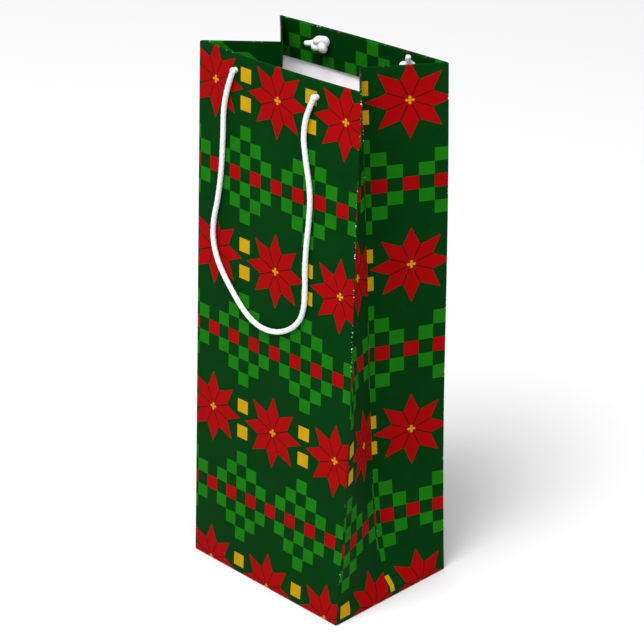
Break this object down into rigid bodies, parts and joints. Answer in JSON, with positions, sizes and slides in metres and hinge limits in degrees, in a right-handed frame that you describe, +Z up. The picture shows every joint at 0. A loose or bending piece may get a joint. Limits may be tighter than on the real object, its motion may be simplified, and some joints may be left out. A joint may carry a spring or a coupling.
{
  "type": "wine gift bag",
  "caption": "Tall gusseted paper gift bag for a wine bottle, open at the top, with a knotted cord handle on each wide wall.",
  "frame": {"origin": "centre of the base, on the surface that the bag stands on", "axes": "+Z up, towards the open mouth. -Y is the front, the wide wall with the front handle. +X is the bag's right side seen from the front"},
  "size_m": [0.1286, 0.096, 0.3401],
  "materials": {
    "printed_paper": "coated print, satin",
    "bare_paper": "matte white",
    "white_card": "matte white",
    "cord": "soft white braid"
  },
  "bodies": {
    "base_and_gussets": {"left_gusset_front": "printed_paper", "left_gusset_back": "printed_paper", "right_gusset_front": "printed_paper", "right_gusset_back": "printed_paper", "left_hem_front": "printed_paper", "left_hem_back": "printed_paper", "right_hem_front": "printed_paper", "right_hem_back": "printed_paper", "bottom_flap_front": "printed_paper", "bottom_flap_back": "printed_paper", "bottom_flap_left": "printed_paper", "bottom_flap_right": "printed_paper", "bottom_card": "white_card"},
    "front_wall": {"front_panel": "printed_paper", "front_reinforcement_card": "white_card", "front_hem": "printed_paper", "front_knot_left": "cord", "front_knot_right": "cord"},
    "back_wall": {"back_panel": "printed_paper", "back_reinforcement_card": "white_card", "back_hem": "printed_paper", "glue_flap": "bare_paper", "back_knot_left": "cord", "back_knot_right": "cord"},
    "front_handle": {"front_handle_cord": "cord"},
    "back_handle": {"back_handle_cord": "cord"}
  },
  "joints": [
    {"name": "front_wall_hinge", "type": "hinge", "parent": "base_and_gussets", "child": "front_wall", "pos_m": [0, -0.0478, 0.0005], "axis": [-1, 0, 0], "range_deg": [-2.4, 2], "stiffness_Nm_per_rad": 0.5, "deforming": ["left_gusset_front", "right_gusset_front", "left_hem_front", "right_hem_front"]},
    {"name": "back_wall_hinge", "type": "hinge", "parent": "base_and_gussets", "child": "back_wall", "pos_m": [0, 0.0478, 0.0005], "axis": [1, 0, 0], "range_deg": [-1.9, 2], "stiffness_Nm_per_rad": 0.5, "deforming": ["left_gusset_back", "right_gusset_back", "left_hem_back", "right_hem_back"]},
    {"name": "front_handle_swing", "type": "hinge", "parent": "front_wall", "child": "front_handle", "pos_m": [-0.032, -0.03765, 0.33], "axis": [-0.9987, -0.05, 0], "range_deg": [0, 175]},
    {"name": "back_handle_swing", "type": "hinge", "parent": "back_wall", "child": "back_handle", "pos_m": [-0.032, 0.03641, 0.33], "axis": [0.9955, 0.0949, 0], "range_deg": [0, 175]}
  ]
}
